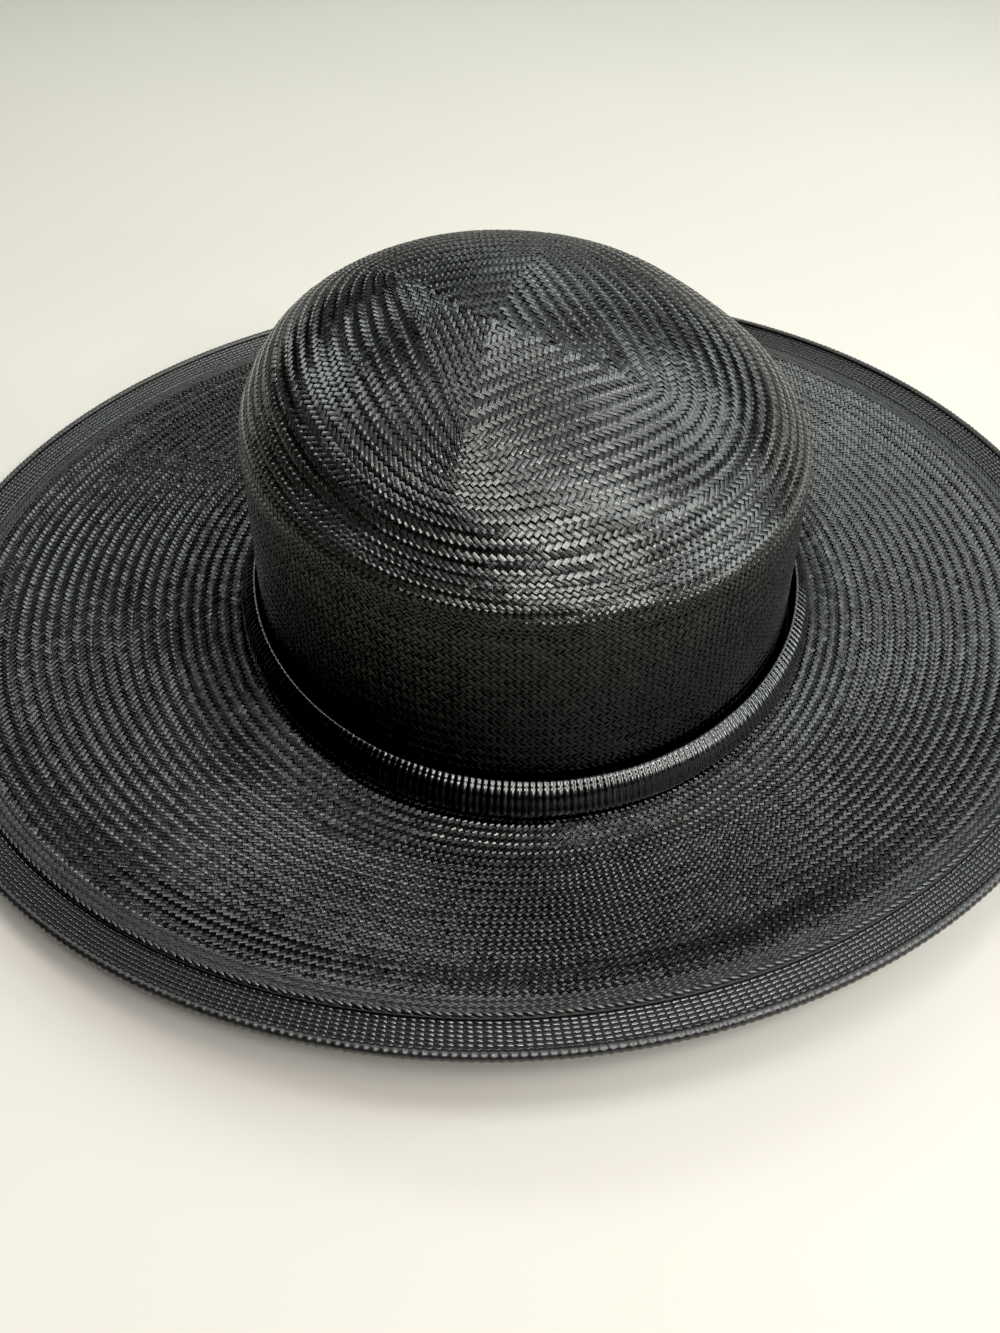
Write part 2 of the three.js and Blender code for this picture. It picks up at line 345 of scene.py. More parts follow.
def crown_at(places, inset=0.0):
    """Points on the crown for places on its straw: x and y from the middle, measured along it."""
    length = np.hypot(places[..., 0], places[..., 1])
    turn = np.arctan2(places[..., 0], -places[..., 1])
    on_dome = np.interp(length, DOME_LENGTHS, DOME_STEPS)
    step = np.where(length <= TIP_LENGTH, on_dome, 1 + (length - TIP_LENGTH) / SHOULDER_Z)
    points = crown_point(turn, step, inset)
    points[..., 2] += tip_rise(places) - RIDGE_LOWERED * np.cos(np.clip(step, 0, 1) * math.pi / 2)
    reach, evenness = TIP_EDGE_FRONT
    front = np.clip(np.cos(turn) + reach, 0, 1) ** evenness
    slack = edge_hump(length, TIP_EDGE_SLACK) * front
    crisp = edge_hump(length, TIP_EDGE_CRISP) * front
    points[..., 2] -= slack
    points[..., 0] += crisp * np.sin(turn)
    points[..., 1] -= crisp * np.cos(turn)
    return points


def headline_point(turn, out, z):
    """Points beside the crown's foot, out millimetres outside the headline."""
    x = CROWN_CENTRE[0] + (HEAD_HALF[0] + out) * np.sin(turn)
    y = CROWN_CENTRE[1] - (HEAD_HALF[1] + out) * np.cos(turn)
    return np.stack(np.broadcast_arrays(x, y, z), -1)


def edge_height(edge, turn):
    """edge: mean height, extra at the front, extra at the right."""
    return edge[0] + edge[1] * np.cos(turn) + edge[2] * np.sin(turn)


def brim_edges(turn):
    """The brim's inner and outer edge, flat on the floor, and how far they are apart."""
    inner = headline_point(turn, INNER_EDGE_OUT, 0.0)
    outer = round_place(turn, BRIM_RADIUS, np.zeros_like(turn))
    return inner, outer, np.linalg.norm(outer - inner, axis=-1)


def smooth_step(value, start, end):
    share = np.clip((value - start) / (end - start), 0, 1)
    return share * share * (3 - 2 * share)


def brim_point(turn, across, thickness_share=1.0):
    """across 0 is the brim's inner edge and 1 its outer edge.

    thickness_share 1 is its top and 0 its underside.
    """
    turn, across = np.broadcast_arrays(np.asarray(turn, float), np.asarray(across, float))
    inner, outer, width = brim_edges(turn)
    point = inner + (outer - inner) * across[..., None]
    lift = np.clip((across - BRIM_FLAT) / (1 - BRIM_FLAT), 0, None) ** BRIM_CURL
    bottom = (edge_height(BRIM_EDGE_TOP, turn) - HEM_THICKNESS) * lift
    from_edge = (1 - across) * width
    thinned = smooth_step(from_edge, HEM_WIDTH - HEM_FADE[0], HEM_WIDTH + HEM_FADE[1])
    thickness = HEM_THICKNESS - (HEM_THICKNESS - SHEET) * thinned
    wave = np.zeros_like(across)
    for count, phase, high in BRIM_WAVES:
        wave += high * np.sin(count * turn + phase)
    raised = np.clip(bottom / WAVES_FROM, 0, 1) * np.clip(across * (1 - across) * 4, 0, 1) ** WAVE_FADE
    point[..., 2] = bottom + thickness * thickness_share + wave * raised
    return point


def lip_point(turn, share, above=0.0):
    """share 0 is the lip's inner edge and 1 the middle of the wired edge."""
    turn, share = np.broadcast_arrays(np.asarray(turn, float), np.asarray(share, float))
    low = edge_height(BRIM_EDGE_TOP, turn) - HEM_THICKNESS + LIP_START_UP + BINDING_THICKNESS / 2
    high = edge_height(BINDING_EDGE_TOP, turn) - BEAD_RADIUS
    start = BRIM_RADIUS - LIP_START_IN
    radius = start + (BINDING_RADIUS - BEAD_RADIUS - start) * share
    z = low + (high - low) * np.clip(share, 0, None) ** LIP_CURL + above
    return round_place(turn, radius, z)


def band_section(count):
    """The band's section as a smooth closed curve: its points and the directions out of it."""
    knots = np.array(BAND_SECTION)
    where = np.arange(count) / count * len(knots)
    low = np.floor(where).astype(int)
    part = (where - low)[:, None]
    before, start, end, after = (knots[(low + k) % len(knots)] for k in (-1, 0, 1, 2))
    bend = 2 * before - 5 * start + 4 * end - after
    twist = 3 * start - before - 3 * end + after
    points = 0.5 * (2 * start + (end - before) * part + bend * part ** 2 + twist * part ** 3)
    along = np.roll(points, -1, axis=0) - np.roll(points, 1, axis=0)
    return points, unit(np.stack([along[:, 1], -along[:, 0]], -1))


def band_point(turn, place, direction, proud):
    """place and direction lie in the band's section. proud is how far the point stands out of it."""
    middle, spread, extra = BAND_STAND_OFF
    degrees = np.degrees(turn) % 360
    near = np.exp(-((degrees - middle) ** 2) / (2 * spread ** 2))
    out = BAND_GAP + BAND_HALF_WIDTH + place[0] + proud * direction[0] + extra * near
    z = BAND_BOTTOM + BAND_HALF_HEIGHT + place[1] + proud * direction[1]
    return headline_point(turn, out, z)


# Meshes

def make_mesh(name, points, faces, attributes=None, creases=None):
    """points in millimetres. faces has one row of corners for each face.

    creases has a number for each point: an edge between two points with the same number above 0 is sharp.
    """
    mesh = bpy.data.meshes.new(name)
    points = np.asarray(points, np.float32) * MM
    faces = np.asarray(faces, np.int32)
    mesh.vertices.add(len(points))
    mesh.vertices.foreach_set("co", points.ravel())
    mesh.loops.add(faces.size)
    mesh.loops.foreach_set("vertex_index", faces.ravel())
    mesh.polygons.add(len(faces))
    mesh.polygons.foreach_set("loop_start", np.arange(0, faces.size, faces.shape[1], dtype=np.int32))
    mesh.polygons.foreach_set("use_smooth", np.ones(len(faces), bool))
    for key, values in (attributes or {}).items():
        values = np.asarray(values, np.float32)
        kind = "FLOAT" if values.ndim == 1 else "FLOAT_VECTOR"
        field = "value" if values.ndim == 1 else "vector"
        mesh.attributes.new(key, kind, "POINT").data.foreach_set(field, values.ravel())
    mesh.update(calc_edges=True)
    mesh.validate()
    if creases is not None:
        ends = np.empty(2 * len(mesh.edges), np.int32)
        mesh.edges.foreach_get("vertices", ends)
        first = creases[ends[::2]]
        second = creases[ends[1::2]]
        sharp = (first > 0) & (first == second)
        mesh.attributes.new("sharp_edge", "BOOLEAN", "EDGE").data.foreach_set("value", sharp)
    piece = bpy.data.objects.new(name, mesh)
    bpy.context.scene.collection.objects.link(piece)
    return piece


def grid_faces(rows, columns, wrap_rows=False, wrap_columns=True, flip=False):
    """Quads between the points of a grid. A wrapped side is joined to the opposite one."""
    row_count = rows if wrap_rows else rows - 1
    column_count = columns if wrap_columns else columns - 1
    i, j = np.meshgrid(np.arange(row_count), np.arange(column_count), indexing="ij")
    next_i = (i + 1) % rows
    next_j = (j + 1) % columns
    corners = [i * columns + j, i * columns + next_j, next_i * columns + next_j, next_i * columns + j]
    if flip:
        corners.reverse()
    return np.stack(corners, -1).reshape(-1, 4)


def copied_faces(faces, size, count):
    """The faces of count copies of a small mesh with size points."""
    return (faces[None] + size * np.arange(count)[:, None, None]).reshape(-1, faces.shape[1])


class Collection:
    """Collects small meshes, with values for their points, and makes them into one mesh."""

    def __init__(self):
        self.points = []
        self.faces = []
        self.values = {}
        self.count = 0

    def collect(self, points, faces, **values):
        points = points.reshape(-1, 3)
        self.points.append(points)
        self.faces.append(faces + self.count)
        for key, rows in values.items():
            self.values.setdefault(key, []).append(rows)
        self.count += len(points)

    def finish(self, name):
        values = {key: np.concatenate(rows) for key, rows in self.values.items()}
        creases = values.pop("creases", None)
        return make_mesh(name, np.concatenate(self.points), np.concatenate(self.faces), values, creases)


# Woven straw. A weave is laid out in strands along a row (u) and half rows across it (v). In one half row
# every visible length of straw slants one way, and in the next the other way.

def float_shape(stations, widths):
    """Points of one visible length of straw, as (along, across) from -1 to 1, and the quads between them.

    The third result numbers the creases where, with four stations, its straight middle ends.
    """
    grid = np.array([(along, wide) for along in stations for wide in widths], float)
    columns = len(widths)
    creases = np.zeros(len(grid), int)
    if len(stations) == 4:
        creases[columns:2 * columns] = 1
        creases[2 * columns:3 * columns] = 2
    faces = []
    for k in range(len(stations) - 1):
        for side in range(columns - 1):
            corner = columns * k + side
            faces.append((corner, corner + columns, corner + columns + 1, corner + 1))
    return grid, np.array(faces), creases


FLOAT_STATIONS = (-1, -FLOAT_FLAT_PART, FLOAT_FLAT_PART, 1)
FULL_FLOAT = float_shape(FLOAT_STATIONS, (-1, 0, 1))
FLAT_FLOAT = float_shape(FLOAT_STATIONS, (-1, 1))  # pressed flat across
PLAIN_FLOAT = float_shape((-1, 0, 1), (-1, 0, 1))  # where little of it is seen


def normals(place, u, v):
    """Directions out of the surface at u, v, from small steps along it."""
    side = place(u + SLOPE_STEP, v) - place(u - SLOPE_STEP, v)
    down = place(u, v + SLOPE_STEP) - place(u, v - SLOPE_STEP)
    return unit(np.cross(down, side))


def shifted(numbers, row):
    """Every other half row is shifted by half a strand."""
    return numbers + 0.5 * (row % 2)


class Weave(Collection):
    """Collects rows of woven straw."""

    def add_row(self, place, row, u, pitch, relief=1.0, shape=FULL_FLOAT):
        """One half row. u: middles of its lengths of straw. pitch: spacing of the strands in millimetres."""
        count = len(u)
        if count == 0:
            return
        v = np.full(count, row + 0.5)
        slant = 1 if row % 2 else -1
        grid, quads, creases = shape
        size = len(grid)
        along = grid[:, 0]
        wide = grid[:, 1]
        longer = random.uniform(*FLOAT_LENGTHS, (count, 1))
        broader = random.uniform(*FLOAT_WIDTHS, (count, 1))
        wide_here = wide * broader * (1 - FLOAT_NARROWING * along ** 2)
        along_here = along * longer
        u_all = u[:, None] + slant * (along_here / 2 - wide_here / 4)
        v_all = v[:, None] + along_here / 2 + wide_here / 4
        normal = normals(place, u, v)
        height = FLOAT_CREST - FLOAT_END_DROP * along ** 4 - FLOAT_SIDE_DROP * wide ** 2
        lean_across, lean_along = FLOAT_LEANS
        lean = random.normal(0, lean_across, (count, 1)) * wide
        lean = lean + random.normal(0, lean_along, (count, 1)) * along
        lift = random.normal(0, FLOAT_LIFTS, (count, 1))
        height = (height + lean + lift) * relief
        points = place(u_all, v_all) + normal[:, None, :] * height[..., None]
        columns = np.count_nonzero(along == -1)
        strand = points[:, size - columns] - points[:, 0]
        across = unit(np.cross(normal, strand))
        faces = copied_faces(quads[:, ::-1] if slant > 0 else quads, size, count)
        shade = np.repeat(random.uniform(0, 1, count), size)
        across_mm = wide * pitch * GRAIN_WIDTH + np.zeros((count, 1))
        along_mm = along * GRAIN_LENGTH + random.uniform(0, GRAIN_PLACES, (count, 1))
        label = random.uniform(0, GRAIN_PLACES, (count, 1)) + np.zeros(size)
        fibre = np.stack([across_mm, along_mm, label], -1).reshape(-1, 3)
        self.collect(points, faces, shade=shade, fibre=fibre, across=np.repeat(across, size, axis=0),
                     creases=np.tile(creases, count))


def corner_rings():
    """The four corners joined by straight rows, as evenly spaced places, in rings that get rounder.

    The second result is the length once round the corners.
    """
    corners = [on_tip(*corner) for corner in WEAVE_CORNERS]
    closed = np.array(corners + corners[:1])
    lengths = np.concatenate([[0], np.cumsum(np.linalg.norm(np.diff(closed, axis=0), axis=1))])
    where = np.arange(CORNER_SAMPLES) / CORNER_SAMPLES * lengths[-1]
    sharp = np.stack([np.interp(where, lengths, closed[:, k]) for k in (0, 1)], -1)
    rings = []
    for rounding in CORNER_ROUNDINGS:
        reach = max(round(CORNER_SAMPLES * rounding / lengths[-1]), 1)
        total = np.zeros_like(sharp)
        for offset in range(-reach, reach + 1):
            total += np.roll(sharp, offset, axis=0)
        rings.append(total / (2 * reach + 1))
    return np.array(rings), lengths[-1]


def ring_between(rings, ring, sample, blend):
    """Places between two samples of a ring."""
    after = (sample + 1) % CORNER_SAMPLES
    return rings[ring, sample] * (1 - blend) + rings[ring, after] * blend


def weave_fans(weave):
    """The straight rows of the tip, from its middle to the corners."""
    middle, fans = tip_fans()
    for k, (start, end, along, outward, depth) in enumerate(fans):
        pitch = FAN_PITCH[k]
        row_height = depth / FAN_ROWS
        left = (start - middle) @ along
        right = (end - middle) @ along

        def fan_place(u, v):
            return crown_at(middle + u[..., None] * pitch * along + v[..., None] * row_height * outward)

        for row in range(FAN_ROWS):
            share = (row + 0.5) / FAN_ROWS
            first = math.ceil(left * share / pitch - 0.5)
            last = math.floor(right * share / pitch + 0.5)
            u = shifted(np.arange(first, last + 1), row)
            inside = (u * pitch > left * share - FAN_MARGIN) & (u * pitch < right * share + FAN_MARGIN)
            weave.add_row(fan_place, row, u[inside], pitch)


def weave_tip(weave):
    """The rows from the corners to the top of the wall."""
    inner_rings, inner_length = corner_rings()
    outer_length = FULL_TURN * SHOULDER_RADIUS
    for first_row in range(0, TIP_ROWS, TIP_GROUP):
        end_row = min(first_row + TIP_GROUP, TIP_ROWS)
        middle_share = (first_row + end_row) / 2 / TIP_ROWS
        strands = round((inner_length + (outer_length - inner_length) * middle_share) / TIP_PITCH)

        def ring_place(u, v):
            part = (u / strands) % 1
            where = part * CORNER_SAMPLES
            sample = np.floor(where).astype(int) % CORNER_SAMPLES
            blend = (where - np.floor(where))[..., None]
            share = v / TIP_ROWS
            level = np.clip(share / ROUNDED_AT, 0, 0.999) * (len(inner_rings) - 1)
            ring = np.floor(level).astype(int)
            later = (level - ring)[..., None]
            less = ring_between(inner_rings, ring, sample, blend)
            more = ring_between(inner_rings, ring + 1, sample, blend)
            inner = less * (1 - later) + more * later
            outer = flat_place(START_TURN + part * FULL_TURN, TIP_LENGTH)
            mix = (share + TIP_ROW_EASE * share * (1 - share))[..., None]
            return crown_at(inner * (1 - mix) + outer * mix)

        for row in range(first_row, end_row):
            weave.add_row(ring_place, row, shifted(np.arange(strands), row), TIP_PITCH)


def weave_wall(weave):
    def wall_place(u, v):
        turn = START_TURN + u / WALL_STRANDS * FULL_TURN
        return crown_at(flat_place(turn, TIP_LENGTH + v / WALL_ROWS * (SHOULDER_Z - WALL_BOTTOM)))

    for row in range(WALL_ROWS):
        u = shifted(np.arange(WALL_STRANDS), row)
        weave.add_row(wall_place, row, u, WALL_PITCH, shape=PLAIN_FLOAT)


def weave_crown():
    weave = Weave()
    weave_fans(weave)
    weave_tip(weave)
    weave_wall(weave)
    return weave.finish("crown_straw")


def weave_brim():
    """The brim's rows, and as a mesh of their own the rows of its folded edge."""
    body_weave = Weave()
    hem_weave = Weave()
    rows = BRIM_ROWS + HEM_ROWS
    starts = [*range(0, BRIM_ROWS, BRIM_GROUP), BRIM_ROWS]
    for first_row, end_row in zip(starts, starts[1:] + [rows]):
        in_hem = first_row == BRIM_ROWS
        weave = hem_weave if in_hem else body_weave
        relief = HEM_RELIEF if in_hem else 1.0
        middle_share = (first_row + end_row) / 2 / rows
        radius = HEADLINE_RADIUS + (BRIM_RADIUS - HEADLINE_RADIUS) * middle_share
        strands = round(FULL_TURN * radius / BRIM_PITCH)

        def brim_place(u, v):
            turn = u / strands * FULL_TURN
            hem_start = 1 - HEM_ROWS_WIDTH / brim_edges(turn)[2]
            body = v / BRIM_ROWS * hem_start
            hem = hem_start + (v - BRIM_ROWS) / HEM_ROWS * (1 - hem_start) * HEM_ROWS_FILL
            return brim_point(turn, np.where(v <= BRIM_ROWS, body, hem))

        for row in range(first_row, end_row):
            shape = FLAT_FLOAT if row < FLAT_BRIM_ROWS else FULL_FLOAT
            weave.add_row(brim_place, row, shifted(np.arange(strands), row), BRIM_PITCH, relief, shape)
    return body_weave.finish("brim_straw"), hem_weave.finish("brim_hem")


def uneven_turns(count, uneven):
    """Angles once round the hat, not quite evenly spaced."""
    return (np.arange(count) + random.uniform(-uneven, uneven, count)) / count * FULL_TURN


# Sheets behind the straw. They back each shell and carry the weave of its hidden side as bump, with painted
# shade where it dips.

def turns_from_back(sides):
    """Angles once round the hat that start and end at the back, where the seam of a sheet lies."""
    return math.pi + np.linspace(0, FULL_TURN, sides + 1)


def loop_shell(name, rings, lattice, flip=False, closed=True):
    """rings: arrays of points round the hat. lattice: (strands, half row) at each ring, for the bump."""
    columns = len(rings[0])
    share = np.linspace(0, 1, columns)
    zeros = np.zeros(columns)
    weave = [np.stack([share * strands, zeros + row, zeros], -1) for strands, row in lattice]
    faces = grid_faces(len(rings), columns, wrap_rows=closed, wrap_columns=False, flip=flip)
    return make_mesh(name, np.concatenate(rings), faces, {"weave": np.concatenate(weave)})


def sheet_strands(length):
    """Fewer strands near the middle of the tip, where they would get too narrow."""
    half, quarter = SHEET_THINNED
    if length > half:
        return WALL_STRANDS
    if length > quarter:
        return WALL_STRANDS // 2
    return WALL_STRANDS // 4


def make_crown_sheet():
    """From the tip down behind the straw, round the foot and up the inside."""
    turn = turns_from_back(CROWN_SIDES)
    rings = []
    lattice = []

    def add_foot_ring(angle, radius, row):
        out = FOOT_BEND - radius * math.cos(angle)
        z = SHEET + FOOT_BEND - radius * math.sin(angle)
        rings.append(headline_point(turn, out, z))
        lattice.append((WALL_STRANDS, row))

    down, count = CROWN_OUTSIDE
    for length in np.linspace(CROWN_SHEET_START, TIP_LENGTH + down, count):
        rings.append(crown_at(flat_place(turn, length), BACKING_DEPTH))
        lattice.append((WALL_STRANDS, length / SHEET_ROW))
    row = (TIP_LENGTH + down) / SHEET_ROW
    for angle in np.linspace(0, math.pi / 2, FOOT_RINGS[0]):
        row += FOOT_ROWS[0]
        add_foot_ring(angle, FOOT_BEND + FOOT_LOWERED, row)
    for z in (SHEET - FOOT_LOWERED, 0.0):
        row += FOOT_ROWS[1]
        rings.append(headline_point(turn, FOOT_REACH, z))
        lattice.append((WALL_STRANDS, row))
    for angle in np.linspace(math.pi / 2, 0, FOOT_RINGS[1]):
        row += FOOT_ROWS[2]
        add_foot_ring(angle, FOOT_BEND + SHEET, row)
    down, count = CROWN_INSIDE
    for length in np.linspace(TIP_LENGTH + down, CROWN_SHEET_START, count):
        row += (TIP_LENGTH + down) / (count - 1) / SHEET_ROW
        rings.append(crown_at(flat_place(turn, length), SHEET))
        lattice.append((sheet_strands(length), row))
    return loop_shell("crown_sheet", rings, lattice, flip=True, closed=False)


def make_brim_sheet():
    """Outwards behind the straw and back along the underside."""
    turn = turns_from_back(BRIM_SIDES)
    rings = [brim_point(turn, across) - UP * BACKING_DEPTH for across in np.linspace(0, 1, BRIM_SHEET_RINGS)]
    rings += [brim_point(turn, across, 0.0) for across in np.linspace(1, 0, BRIM_SHEET_RINGS)]
    lattice = [(BRIM_SHEET_STRANDS, k * BRIM_SHEET_ROWS) for k in range(len(rings))]
    return loop_shell("brim_sheet", rings, lattice, flip=True)


def weave_edge_rope():
    """The last row of the straw: a slanting twist that stands proud at the brim's edge."""
    turn = uneven_turns(TWISTS, TWIST_UNEVEN)
    along = np.array(TWIST_PROFILE)
    points = []
    for place in along:
        size = math.sqrt(max(1 - place ** 2, TWIST_TIP))
        for k in range(TWIST_POINTS):
            angle = k / TWIST_POINTS * FULL_TURN
            here = turn + place * TWIST_LENGTH / BRIM_RADIUS
            radius = BRIM_RADIUS - TWIST_INSIDE + place * TWIST_SLANT
            radius += TWIST_HALF_WIDTH * size * math.cos(angle)
            z = edge_height(BRIM_EDGE_TOP, here) + TWIST_ABOVE + TWIST_HALF_HEIGHT * size * math.sin(angle)
            points.append(round_place(here, radius, z))
    per_twist = len(points)
    points = np.stack(points, 1).reshape(-1, 3)
    faces = copied_faces(grid_faces(len(along), TWIST_POINTS, flip=True), per_twist, TWISTS)
    shade = np.repeat(random.uniform(*TWIST_SHADES, TWISTS), per_twist)
    label = np.repeat(random.uniform(0, GRAIN_PLACES, TWISTS), per_twist)
    grain_along = np.tile(np.repeat(along, TWIST_POINTS), TWISTS)
    fibre = np.stack([np.zeros_like(label), grain_along, label], -1)
    return make_mesh("brim_edge_rope", points, faces, {"shade": shade, "fibre": fibre})


def make_stitches():
    """Two lines of small stitches that hold the folded edge."""
    half_long, half_wide = STITCH_HALF
    cell = np.array([(0, 1, 4), (1, 2, 4), (2, 3, 4), (3, 0, 4)])
    stitches = Collection()
    for inward in STITCH_LINES:
        count = int(FULL_TURN * (BRIM_RADIUS - inward) / STITCH_PITCH)
        turn = uneven_turns(count, STITCH_UNEVEN)
        middle = brim_point(turn, 1 - inward / brim_edges(turn)[2]) + UP * STITCH_FOOT
        tangent = np.stack([np.cos(turn), np.sin(turn), np.zeros(count)], -1)
        outward = round_place(turn, 1.0, np.zeros(count))
        corners = [
            middle - tangent * half_long, middle - outward * half_wide,
            middle + tangent * half_long, middle + outward * half_wide,
            middle + UP * STITCH_CREST,
        ]
        size = len(corners)
        shade = np.repeat(random.uniform(0, 1, count), size)
        stitches.collect(np.stack(corners, 1), copied_faces(cell, size, count), shade=shade)
    return stitches.finish("hem_stitches")


# Braid

def ribbed_turns(ribs, per_rib):
    """Angles round the hat with per_rib of them in each rib, and how high each rib stands."""
    columns = ribs * per_rib
    strength = random.uniform(*BRAID_STRENGTH, ribs).repeat(per_rib)
    return np.arange(columns) / columns * FULL_TURN, strength


def ribbed_tube(name, rings, ribs):
    """rings: arrays of points round the hat. Each rib has a shade of its own."""
    columns = len(rings[0])
    shade = np.tile(random.uniform(0, 1, ribs).repeat(columns // ribs), len(rings))
    faces = grid_faces(len(rings), columns, wrap_rows=True)
    return make_mesh(name, np.concatenate(rings), faces, {"shade": shade})


def make_band():
    """A soft roll with fine ribs across it and a few fine ridges along its top edge."""
    ribs = round(FULL_TURN * HEADLINE_RADIUS / BAND_RIB)
    turn, strength = ribbed_turns(ribs, len(BAND_RIB_PROFILE))
    rib = np.tile(BAND_RIB_PROFILE, ribs)
    places, directions = band_section(BAND_AROUND)
    rings = []
    for k in range(BAND_AROUND):
        angle = k / BAND_AROUND * FULL_TURN
        ridge = BAND_RIDGE * math.cos(k * math.pi) if places[k][1] > BAND_RIDGES_FROM else 0.0
        wander = sum(high * np.sin(turn * waves + bends * angle) for high, waves, bends in BAND_WANDER)
        proud = rib * strength * BAND_RIB_HEIGHT - BAND_RIB_SUNK + ridge + wander
        rings.append(band_point(turn, places[k], directions[k], proud))
    return ribbed_tube("band_roll", rings, ribs)


def make_lip_sheet():
    """A sheer sheet that fills the lip between its threads."""
    turn = np.arange(LIP_SIDES) / LIP_SIDES * FULL_TURN
    shares = np.linspace(0, 1, LIP_RINGS)
    top, underside = LIP_FACES
    rings = [lip_point(turn, share, top) for share in shares]
    rings += [lip_point(turn, share, underside) for share in shares[::-1]]
    faces = grid_faces(len(rings), LIP_SIDES, wrap_rows=True, flip=True)
    return make_mesh("lip_sheet", np.concatenate(rings), faces)


def weave_lip():
    """Rows of short threads that lie along the lip, above and below it."""
    strands = round(FULL_TURN * LIP_RADIUS / BRAID_PITCH)
    half_long, half_wide = LIP_THREAD_HALF
    uneven_u, uneven_v = LIP_THREAD_UNEVEN
    crest, end_drop, side_drop = LIP_THREAD_HEIGHT
    threads = Collection()
    for side in (1, -1):
        grid, quads, _ = FULL_FLOAT if side == 1 else PLAIN_FLOAT
        size = len(grid)
        along = grid[:, 0]
        wide = grid[:, 1]
        height = crest - end_drop * along ** 4 - side_drop * wide ** 2

        def lip_place(u, v):
            share = LIP_ROWS_FROM + LIP_ROWS_OVER * v / LIP_ROWS
            return lip_point(side * u / strands * FULL_TURN, share, side * LIP_THREAD_AT)

        for row in range(LIP_ROWS):
            u = np.arange(strands) + LIP_THREAD_SHIFT * row
            v = np.full(strands, row + 0.5)
            u_all = u[:, None] + along * half_long + random.normal(0, uneven_u, (strands, 1))
            v_all = v[:, None] + wide * half_wide + random.normal(0, uneven_v, (strands, 1))
            points = lip_place(u_all, v_all) + normals(lip_place, u, v)[:, None] * height[:, None]
            shade = np.repeat(random.uniform(0, 1, strands), size)
            threads.collect(points, copied_faces(quads[:, ::-1], size, strands), shade=shade)
    return threads.finish("lip_threads")


def make_wired_edge():
    """A cord with fine ribs round it."""
    ribs = round(FULL_TURN * BINDING_RADIUS / BRAID_PITCH)
    turn, strength = ribbed_turns(ribs, WIRE_RIB_POINTS)
    part = (np.arange(len(turn)) % WIRE_RIB_POINTS) / WIRE_RIB_POINTS
    rib = (0.5 - 0.5 * np.cos(part * FULL_TURN)) ** WIRE_RIB_CURVE
    size = BEAD_RADIUS - WIRE_RIB_HEIGHT + WIRE_RIB_HEIGHT * rib * strength
    centre = BINDING_RADIUS - BEAD_RADIUS
    z = edge_height(BINDING_EDGE_TOP, turn) - BEAD_RADIUS
    angles = np.arange(WIRE_AROUND) / WIRE_AROUND * FULL_TURN
    rings = [round_place(turn, centre + size * math.cos(a), z + size * math.sin(a)) for a in angles]
    return ribbed_tube("wired_edge", rings, ribs)


# Materials

class Nodes:
    """A short way to write a material's node tree."""

    def __init__(self, name):
        self.material = bpy.data.materials.new(name)
        self.material.use_nodes = True
        self.tree = self.material.node_tree
        self.tree.nodes.clear()
        self.output = self.tree.nodes.new("ShaderNodeOutputMaterial")

    def node(self, kind, inputs=None, **settings):
        node = self.tree.nodes.new(kind)
        for key, value in settings.items():
            setattr(node, key, value)
        for key, value in (inputs or {}).items():
            if isinstance(value, bpy.types.NodeSocket):
                self.tree.links.new(value, node.inputs[key])
            else:
                node.inputs[key].default_value = value
        return node

    def attribute(self, name, output="Fac"):
        return self.node("ShaderNodeAttribute", attribute_name=name).outputs[output]

    def math(self, operation, first, second=0.0):
        return self.node("ShaderNodeMath", {0: first, 1: second}, operation=operation).outputs[0]

    def plus(self, first, second):
        return self.math("ADD", first, second)

    def minus(self, first, second):
        return self.math("SUBTRACT", first, second)

    def times(self, first, second):
        return self.math("MULTIPLY", first, second)

    def between(self, value, low, high):
        return self.node("ShaderNodeMapRange", {"Value": value, "To Min": low, "To Max": high}).outputs[0]

    def noise(self, place, scale, detail):
        inputs = {"Vector": place, "Scale": scale, "Detail": detail}
        return self.node("ShaderNodeTexNoise", inputs).outputs["Fac"]

    def bump(self, height, strength, distance):
        inputs = {"Height": height, "Strength": strength, "Distance": distance}
        return self.node("ShaderNodeBump", inputs).outputs["Normal"]

    def place(self):
        return self.node("ShaderNodeTexCoord").outputs["Object"]

    def ramp(self, value, dark, light):
        node = self.node("ShaderNodeMix", {"Factor": value}, data_type="RGBA")
        for socket in node.inputs:
            if socket.type == "RGBA":
                socket.default_value = dark if socket.name == "A" else light
        return next(socket for socket in node.outputs if socket.type == "RGBA")

    def finish(self, shader):
        self.tree.links.new(shader, self.output.inputs["Surface"])
        return self.material


def straw_material(name, dark, light, rough, anisotropy):
    nodes = Nodes(name)
    shade = nodes.attribute("shade")
    fibre = nodes.attribute("fibre", "Vector")
    stretched = nodes.node("ShaderNodeVectorMath", {0: fibre, 1: GRAIN_STRETCH}, operation="MULTIPLY")
    grain = nodes.noise(stretched.outputs[0], scale=1.0, detail=2.0)
    wear = nodes.noise(nodes.place(), scale=22.0, detail=3.0)
    tone = nodes.times(nodes.plus(shade, grain), 0.5)
    uneven = nodes.plus(nodes.times(grain, 0.6), nodes.times(wear, 0.4))
    shader = nodes.node("ShaderNodeBsdfPrincipled", {
        "Base Color": nodes.ramp(tone, dark, light),
        "Roughness": nodes.between(uneven, *rough),
        "Normal": nodes.bump(grain, strength=0.7, distance=0.0001),
        "IOR": 1.68,
        "Anisotropic": anisotropy,
        "Coat Weight": 0.12,
        "Coat Roughness": 0.16,
    })
    if anisotropy > 0:
        nodes.tree.links.new(nodes.attribute("across", "Vector"), shader.inputs["Tangent"])
    return nodes.finish(shader.outputs[0])


